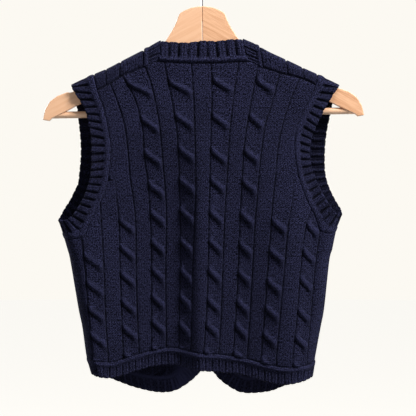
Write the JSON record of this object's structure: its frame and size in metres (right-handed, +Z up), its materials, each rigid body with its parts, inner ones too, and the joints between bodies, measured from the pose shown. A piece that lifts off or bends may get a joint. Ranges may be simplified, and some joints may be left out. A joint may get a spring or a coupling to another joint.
{
  "type": "sweater vest on hanger",
  "caption": "Sleeveless cable-knit wool vest with ribbed bands and a buttoned V-neck front, hung on a wooden coat hanger with a trouser bar.",
  "frame": {"origin": "hang point, the inner top of the hook's bend, in the middle plane of the hanger", "axes": "+Z up; the garment's front faces -Y and its back, which the picture shows, faces +Y; the wearer's left is +X"},
  "size_m": [0.4408, 0.0423, 0.6168],
  "materials": {
    "knit": "matte, fuzzy navy wool, cable knit",
    "rib": "matte navy wool, ribbed",
    "button": "satin dark navy",
    "wood": "satin pale wood, chevron grain",
    "wire": "bright plated steel wire"
  },
  "bodies": {
    "root": {"back_panel": "knit", "back_hem_band": "rib", "back_neckband": "rib", "front_left": "knit", "front_right": "knit", "front_band_left": "rib", "front_band_right": "rib", "armhole_band_left": "rib", "armhole_band_right": "rib", "button_1": "button", "button_2": "button", "button_3": "button", "button_4": "button", "button_5": "button", "hanger_arm_left": "wood", "hanger_arm_right": "wood", "trouser_bar": "wood", "hook": "wire"}
  },
  "joints": []
}
